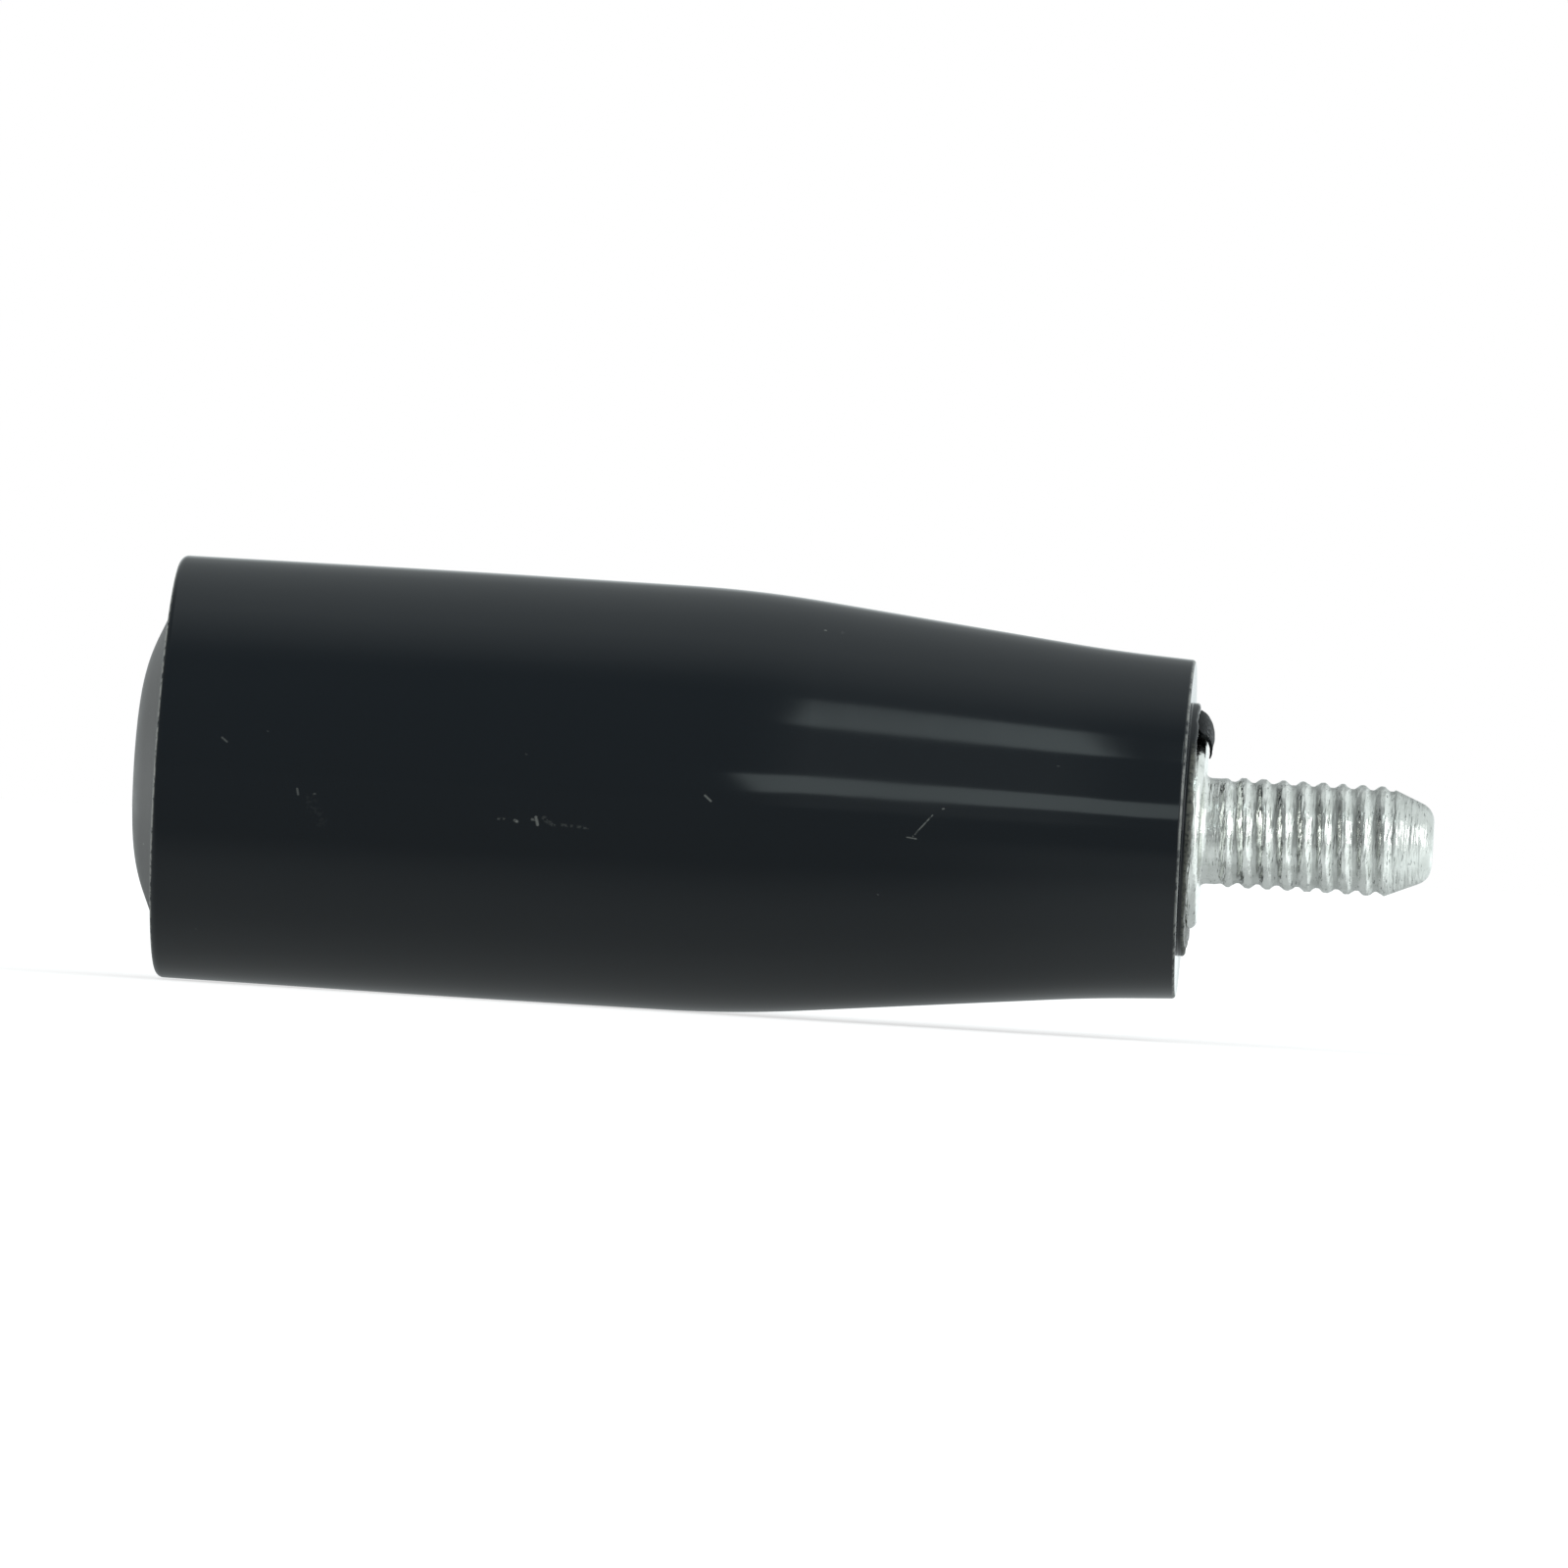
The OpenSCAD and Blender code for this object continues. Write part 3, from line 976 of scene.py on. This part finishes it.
@dataclass
class Spindle:
    """The turned spindle: shank with a ring groove and a socket, flange, neck and rolled M6 stud."""

    layout: Layout
    shank_r: float = 4.0
    groove_r: float = 3.8
    groove_far_gap: float = 0.1
    flange_r: float = 5.0
    flange_t: float = 2.4
    flange_edge: float = 0.45
    flange_back_edge: float = 0.1
    neck_r: float = 2.675
    neck_fillet: float = 0.4
    crest_r: float = 2.79
    root_r: float = 2.555
    pitch: float = 1.0
    crest_phase: float = 0.69
    thread_start: Pair = (0.7, 1.5)
    thread_wander: float = 0.035
    thread_wave: Wave = Wave(3, (5, 9, 17, 29))
    crest_wander: float = 0.12
    crest_wave: Wave = Wave(4, (4, 7, 13, 23))
    wave_lean: float = 1.7
    flank: Pair = (0.2, 0.6)
    eased_flank: Pair = (0.12, 0.88)
    eased_share: float = 0.4
    point_len: float = 2.4
    point_half_angle: float = 23.0
    point_edge: float = 1.0
    tail_edge: float = 0.4
    socket_af: float = 4.0
    socket_depth: float = 5.0
    mouth_share: float = 0.62
    floor_share: float = 0.02
    tip_r: float = 0.03
    step: float = 0.4
    columns: int = 184
    thread_step: float = 0.045
    sharp_angle: float = 50.0
    finish: ZincPlate = field(default_factory=ZincPlate)

    def socket_rows(self, angle: Array) -> tuple[Array, Array]:
        """Rows of the hexagon socket in the shank's end, from its floor out to its mouth.

        The wall's distance from the axis is half the width across the flats, divided by the cosine of the
        angle from the middle of the nearest flat.

        Args:
            angle: Angles round the axis.

        Returns:
            Places along the axis (rows) and radii (rows, columns).
        """
        sixth = math.pi / 3.0
        wall = self.socket_af / 2.0 / np.cos((angle + sixth / 2.0) % sixth - sixth / 2.0)
        floor = self.layout.tail_end + self.socket_depth
        x = np.array([floor, floor, self.layout.tail_end])
        return x, np.stack([self.floor_share * wall, wall, wall])

    def thread(self, x: Array, angle: Array, plain: Array) -> Array:
        """Radius of the stud with its right-hand thread.

        The phase is x over the pitch less the share of a turn, with a small uneven wave. The flank's height
        is a clipped triangle wave of the phase, eased at crest and root, and uneven along the crest. It
        fades in from the neck, and the cone point cuts it off.

        Args:
            x: Places along the axis.
            angle: Angles round the axis.
            plain: Radius of the stud without its thread, at each place.

        Returns:
            Radii of shape (places, angles).
        """
        spot = angle[None, :] + self.wave_lean * x[:, None]
        wander = self.thread_wander * self.thread_wave.at(spot)
        phase = x[:, None] / self.pitch - angle[None, :] / FULL_TURN - self.crest_phase + wander
        triangle = 2.0 * np.abs((phase % 1.0) - 0.5)
        eased = smooth(*self.eased_flank, triangle)
        straight = np.clip((triangle - self.flank[0]) / self.flank[1], 0.0, 1.0)
        height = self.eased_share * eased + (1.0 - self.eased_share) * straight
        height = height * (1.0 - self.crest_wander * (1.0 + self.crest_wave.at(spot)) / 2.0)
        rolled = self.root_r + (self.crest_r - self.root_r) * height
        share = smooth(*self.thread_start, x)[:, None]
        return np.minimum(self.neck_r + (rolled - self.neck_r) * share, plain[:, None])

    def build(self) -> Piece:
        """Builds the spindle as one grid, row by row from the socket's floor to the stud's point.

        Returns:
            The spindle's object.
        """
        angle = ring_angles(self.columns)
        lay = self.layout
        point_r = self.crest_r - self.point_len * math.tan(math.radians(self.point_half_angle))
        groove_far = lay.ring_far - self.groove_far_gap
        body_corners = [
            Corner(self.socket_af * self.mouth_share, lay.tail_end),
            Corner(self.shank_r, lay.tail_end, self.tail_edge),
            Corner(self.shank_r, groove_far),
            Corner(self.groove_r, groove_far),
            Corner(self.groove_r, lay.washer_far),
            Corner(self.shank_r, lay.washer_far),
            Corner(self.shank_r, -self.flange_t),
            Corner(self.flange_r, -self.flange_t, self.flange_back_edge),
            Corner(self.flange_r, 0.0, self.flange_edge),
            Corner(self.neck_r, 0.0, self.neck_fillet),
            Corner(self.neck_r, self.thread_start[0]),
        ]
        stud_corners = [
            Corner(self.crest_r, self.thread_start[0]),
            Corner(self.crest_r, lay.stud_end - self.point_len),
            Corner(point_r, lay.stud_end, self.point_edge),
            Corner(0.0, lay.stud_end),
        ]
        body = turned_outline(body_corners, self.step)
        stud = turned_outline(stud_corners, self.thread_step)
        stud = stud[stud[:, 0] > self.tip_r]
        socket_x, socket_r = self.socket_rows(angle)
        x = np.concatenate([socket_x, body[:, 1], stud[:, 1]])
        body_r = np.repeat(body[:, :1], self.columns, axis=1)
        r = np.concatenate([socket_r, body_r, self.thread(stud[:, 1], angle, stud[:, 0])])
        points = about_axis(x[:, None], r, angle)
        return GridSurface(points).to_object("spindle_turning", self.sharp_angle)

    def dress(self, piece: Piece) -> None:
        """Gives the spindle its plate."""
        point = self.layout.stud_end - self.point_len
        material = self.finish.make(self.root_r, self.thread_start[1], point)
        fit_piece(piece, Body.SPINDLE, Slot.ZINC, material, "spindle")


@dataclass
class EndCap:
    """The push-in cap: a domed top and a skirt with a snap bead."""

    layout: Layout
    cap_r: float = 8.2
    crown_r: float = 4.9
    crown_blend: float = 9.0
    edge_h: float = 0.12
    edge_r: float = 0.2
    wall: float = 1.3
    top: float = 1.6
    bead_h: float = 0.25
    bead_at: float = 3.2
    pole_r: float = 0.02
    step: float = 0.25
    arc_steps: int = 14
    columns: int = 160
    finish: GreyPlastic = field(default_factory=GreyPlastic)

    def build(self) -> Piece:
        """Builds the cap as its section carried round the axis, from the crown over the skirt inwards.

        Returns:
            The cap's object.
        """
        lay = self.layout
        bead, inner = lay.wide_end + self.bead_at, self.cap_r - self.wall
        corners = [
            Corner(self.pole_r, lay.crown),
            Corner(self.crown_r, lay.crown, self.crown_blend),
            Corner(self.cap_r, lay.wide_end - self.edge_h, self.edge_r),
            Corner(self.cap_r, bead - self.bead_h),
            Corner(self.cap_r + self.bead_h, bead),
            Corner(self.cap_r, bead + self.bead_h),
            Corner(self.cap_r, lay.cap_foot),
            Corner(inner, lay.cap_foot),
            Corner(inner, lay.crown + self.top, self.wall / 2.0),
            Corner(self.pole_r, lay.crown + self.top),
        ]
        outline = turned_outline(corners, self.step, self.arc_steps)
        points = about_axis(outline[:, 1:], outline[:, :1], ring_angles(self.columns))
        return GridSurface(points).to_object("cap_moulding")

    def dress(self, piece: Piece) -> None:
        """Gives the cap its finish."""
        fit_piece(piece, Body.SLEEVE, Slot.GREY, self.finish.make(), "end_cap")


@dataclass
class Retainers:
    """The thrust washer and the retaining ring inside the sleeve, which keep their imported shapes."""

    washer: PlainSteel = PlainSteel("washer_steel", (0.55, 0.55, 0.53), 0.35)
    ring: PlainSteel = PlainSteel("spring_steel", (0.06, 0.06, 0.065), 0.42)

    def dress(self) -> None:
        """Gives both pieces their steel."""
        for node, finish in (("thrust_washer", self.washer), ("retaining_ring", self.ring)):
            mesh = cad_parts[node].data
            mesh.materials.clear()
            mesh.materials.append(finish.make())
            LOG.info("%s: dressed as %s", node, finish.name)


# Studio


@dataclass(frozen=True)
class Panel:
    """A flat soft lamp that faces the handle, in metres and degrees.

    It hangs along the axis from the sleeve's middle, lifted up from the front, at a distance from the axis,
    and slants about its own middle. Its size is its length along the axis and its height, its level is 1
    for white, and it fades out at each end over a share of its length and of its height.
    """

    name: str
    along: float
    lift: float
    distance: float
    size: Pair
    slant: float
    level: float
    tint: Colour = WHITE
    mirrored: bool = True
    fade: Pair = (0.02, 0.02)

    def soften(self, lamp: bpy.types.AreaLight) -> None:
        """Fades the lamp out towards its four sides."""
        bench = NodeBench(lamp)
        level: Value = 1.0
        for place, fade in zip(bench.split(bench.out("Parametric", "ShaderNodeNewGeometry")), self.fade):
            level = bench.spread(place, (0.0, fade)) * level
            level = bench.spread(place, (1.0, 1.0 - fade)) * level
        glow = bench.out(0, "ShaderNodeEmission", {"Strength": level})
        bench.node("ShaderNodeOutputLight", {"Surface": glow})

    def hang(self, centre: Vector) -> None:
        """Hangs the lamp round the handle, with a power of its level times pi times its area.

        Args:
            centre: Middle of the sleeve.
        """
        lamp = bpy.data.lights.new(self.name, "AREA")
        lamp.shape = "RECTANGLE"
        lamp.size, lamp.size_y = self.size
        lamp.energy = self.level * math.pi * self.size[0] * self.size[1]
        lamp.color = self.tint
        self.soften(lamp)
        lift = math.radians(self.lift)
        offset = Vector((self.along, -math.cos(lift) * self.distance, math.sin(lift) * self.distance))
        facing = (-offset).to_track_quat("-Z", "Y").to_matrix().to_4x4()
        slant = Matrix.Rotation(math.radians(self.slant), 4, "Z")
        piece = linked(self.name, lamp)
        piece.matrix_world = Matrix.Translation(centre + offset) @ facing @ slant
        piece.visible_camera = False
        piece.visible_glossy = self.mirrored
        LOG.info("lamp %s hung", self.name)


@dataclass
class Studio:
    """White floor, soft room and lamps round the handle.

    Glossy surfaces see the floor at the brightness of mirrored_floor, first in front of the handle and then
    under its front, between mirrored_front and mirrored_back. It is white past mirrored_far, and brighter
    by stud_lift under the stud. The room gives degrees up from the front, with the brightness there, and
    the sides give the brightness towards each end of the axis and the span over which it is reached.
    """

    centre: Vector
    floor_z: float
    floor_half: float = 3.0
    floor_colour: Colour = (0.50, 0.50, 0.50)
    floor_lift: Pair = (0.68, 0.85)
    lift_span: Pair = (0.10, 0.60)
    mirrored_floor: Pair = (0.29, 0.47)
    mirrored_front: Pair = (-0.022, -0.010)
    mirrored_back: Pair = (-0.007, -0.001)
    mirrored_far: Pair = (0.03, 0.15)
    mirrored_stud: Pair = (-0.014, 0.004)
    mirrored_near: Pair = (-0.05, -0.02)
    stud_lift: float = 0.2
    half_reach: float = 0.036
    tint: Colour = (0.93, 1.0, 1.01)
    room: tuple[Pair, ...] = (
        (-180.0, 1.0), (-170.0, 0.7), (-160.0, 0.36), (-90.0, 0.38), (-45.0, 0.32), (0.0, 0.28),
        (63.0, 0.28), (70.0, 0.33), (78.0, 0.44), (88.0, 0.55), (98.0, 0.61), (110.0, 0.58),
        (122.0, 0.52), (144.0, 0.38), (160.0, 0.36), (170.0, 0.7), (180.0, 1.0),
    )
    sides: tuple[tuple[float, float, Pair], ...] = ((-1.0, 0.28, (0.22, 0.60)), (1.0, 0.85, (0.03, 0.50)))
    panels: tuple[Panel, ...] = (
        Panel("upper_strip", 0.136, 53.5, 0.60, (0.119, 0.190), -20.0, 1.2, STRIP_TINT, fade=(0.18, 0.08)),
        Panel("lower_strip", 0.103, 11.5, 0.60, (0.135, 0.108), 9.0, 1.05, STRIP_TINT, fade=(0.14, 0.08)),
        Panel("stud_card", 0.75, 20.0, 0.28, (0.44, 0.80), 0.0, 2.9, fade=(0.3, 0.25)),
        Panel("cap_card", -0.70, 30.0, 0.45, (0.42, 0.60), 0.0, 2.6, mirrored=False),
        Panel("soft_key", -0.10, 52.0, 0.90, (0.70, 0.50), 0.0, 1.7, mirrored=False),
    )

    def tinted(self, level: float) -> Colour:
        """The room's colour at a brightness."""
        return tuple(level * c for c in self.tint)

    def mirrored_level(self, bench: NodeBench, spot: Signal, away: Signal) -> Signal:
        """Brightness of the floor for glossy surfaces, without the shadow that would darken the underside.

        Args:
            bench: Node bench of the floor's material.
            spot: Place on the floor.
            away: Its distance from the origin.

        Returns:
            The brightness, where 1 is white.
        """
        x, y, _ = bench.split(spot)
        front, under = self.mirrored_floor
        level = bench.spread(y, self.mirrored_front, (front, under))
        level = level + bench.spread(y, self.mirrored_back, (0.0, front - under))
        level = level + bench.spread(y, self.mirrored_far, (0.0, 1.0 - front))
        by_stud = bench.spread(x, self.mirrored_stud) * bench.spread(y, self.mirrored_near)
        level = level + by_stud * self.stud_lift
        for side, side_level, span in self.sides:
            past = (x - self.centre.x) * side - self.half_reach
            level = level + bench.spread(past / away, span, (0.0, side_level - front))
        return level

    def lay_floor(self) -> None:
        """Lays a plain pale floor that is white for the camera and keeps a soft shadow."""
        mesh = bpy.data.meshes.new("floor")
        h, z = self.floor_half, self.floor_z
        mesh.from_pydata([(-h, -h, z), (h, -h, z), (h, h, z), (-h, h, z)], [], [(0, 1, 2, 3)])
        floor = linked("floor", mesh)
        material = bpy.data.materials.new("floor")
        bench = NodeBench(material)
        rays = bench.node("ShaderNodeLightPath").outputs
        by_camera, by_gloss = (Signal(bench, rays[name]) for name in ("Is Camera Ray", "Is Glossy Ray"))
        spot = bench.out("Object", "ShaderNodeTexCoord")
        away = bench.out("Value", "ShaderNodeVectorMath", {0: spot}, operation="LENGTH")
        lift = by_camera * bench.spread(away, self.lift_span, self.floor_lift)
        matt = bench.out(0, "ShaderNodeBsdfDiffuse", {"Color": (*self.floor_colour, 1.0)})
        white = bench.out(0, "ShaderNodeEmission", {"Strength": lift})
        seen = bench.out(0, "ShaderNodeAddShader", {0: matt, 1: white})
        mirrored = {"Color": (*self.tint, 1.0), "Strength": self.mirrored_level(bench, spot, away)}
        grey = bench.out(0, "ShaderNodeEmission", mirrored)
        pick = bench.out(0, "ShaderNodeMixShader", {0: by_gloss, 1: seen, 2: grey})
        bench.node("ShaderNodeOutputMaterial", {"Surface": pick})
        mesh.materials.append(material)

    def light_room(self) -> None:
        """Lights the room: white behind the handle for the camera, and soft greys for all else.

        The grey follows the angle up from the front in the plane across the handle's axis, and turns to an
        even light towards both ends of the axis.
        """
        world = bpy.data.worlds.new("room")
        bpy.context.scene.world = world
        bench = NodeBench(world)
        x, y, z = bench.split(bench.out("Generated", "ShaderNodeTexCoord"))
        share = bench.math("ARCTAN2", z, y * -1.0) / FULL_TURN + 0.5
        ramp = bench.node("ShaderNodeValToRGB", {"Fac": share})
        stops = ramp.color_ramp.elements
        while len(stops) < len(self.room):
            stops.new(0.5)
        for stop, (degrees, level) in zip(stops, self.room):
            stop.position = degrees / 360.0 + 0.5
            stop.color = (*self.tinted(level), 1.0)
        grey = Signal(bench, ramp.outputs["Color"])
        for side, side_level, span in self.sides:
            grey = bench.blend(bench.spread(x * side, span), grey, self.tinted(side_level))
        seen = bench.out("Is Camera Ray", "ShaderNodeLightPath")
        back = bench.out(0, "ShaderNodeBackground", {"Color": bench.blend(seen, grey, WHITE)})
        bench.node("ShaderNodeOutputWorld", {"Surface": back})

    def build(self) -> None:
        """Sets up floor, room and lamps."""
        self.lay_floor()
        self.light_room()
        for panel in self.panels:
            panel.hang(self.centre)


@dataclass
class Viewpoint:
    """Camera at the photograph's viewing angle, in metres and degrees.

    The target falls on target_px, counted from the picture's upper left corner, at px_per_mm. The yaw turns
    the camera towards the stud's end, and the roll turns the handle in the picture. The sensor's width is
    in millimetres.
    """

    target: Vector
    target_px: Pair = (690.7, 813.85)
    picture_px: float = 1600.0
    px_per_mm: float = 20.2
    distance: float = 1.15
    yaw: float = 2.59
    roll: float = 3.567
    sensor: float = 36.0
    clip: Pair = (0.01, 50.0)

    def build(self) -> None:
        """Sets up the camera.

        The picture's right and up directions are the level ones turned by the roll. The camera stands back
        from the target along its view, shifted so that the target falls on its pixel.
        """
        yaw, roll = math.radians(self.yaw), math.radians(self.roll)
        ahead = Vector((-math.sin(yaw), math.cos(yaw), 0.0))
        level_right, level_up = Vector((math.cos(yaw), math.sin(yaw), 0.0)), Vector((0.0, 0.0, 1.0))
        right = level_right * math.cos(roll) + level_up * math.sin(roll)
        up = level_up * math.cos(roll) - level_right * math.sin(roll)
        middle = self.picture_px / 2.0
        offset_right = (self.target_px[0] - middle) / self.px_per_mm * MM
        offset_up = (middle - self.target_px[1]) / self.px_per_mm * MM
        spot = self.target - right * offset_right - up * offset_up - ahead * self.distance
        lens = bpy.data.cameras.new("camera")
        lens.sensor_width = self.sensor
        lens.lens = self.sensor * self.px_per_mm * self.distance / MM / self.picture_px
        lens.clip_start, lens.clip_end = self.clip
        camera = linked("camera", lens)
        camera.matrix_world = Matrix.Translation(spot) @ Matrix((right, up, -ahead)).transposed().to_4x4()
        bpy.context.scene.camera = camera


def main() -> None:
    """Builds and dresses the handle, piece by piece, and sets up the studio and the camera."""
    logging.basicConfig(level=logging.INFO, format="%(name)s: %(message)s")
    bpy.context.scene.view_settings.view_transform = "Standard"
    layout = Layout()
    sleeve = Sleeve(layout)
    for part in (sleeve, Flash(), Spindle(layout), EndCap(layout)):
        part.dress(part.build())
    Retainers().dress()
    middle = Vector(((layout.wide_end + sleeve.narrow_end) / 2.0 * MM, 0.0, 0.0))
    Studio(centre=middle, floor_z=CAD_BOX[0][2]).build()
    Viewpoint(target=middle).build()


if __name__ == "__main__":
    main()
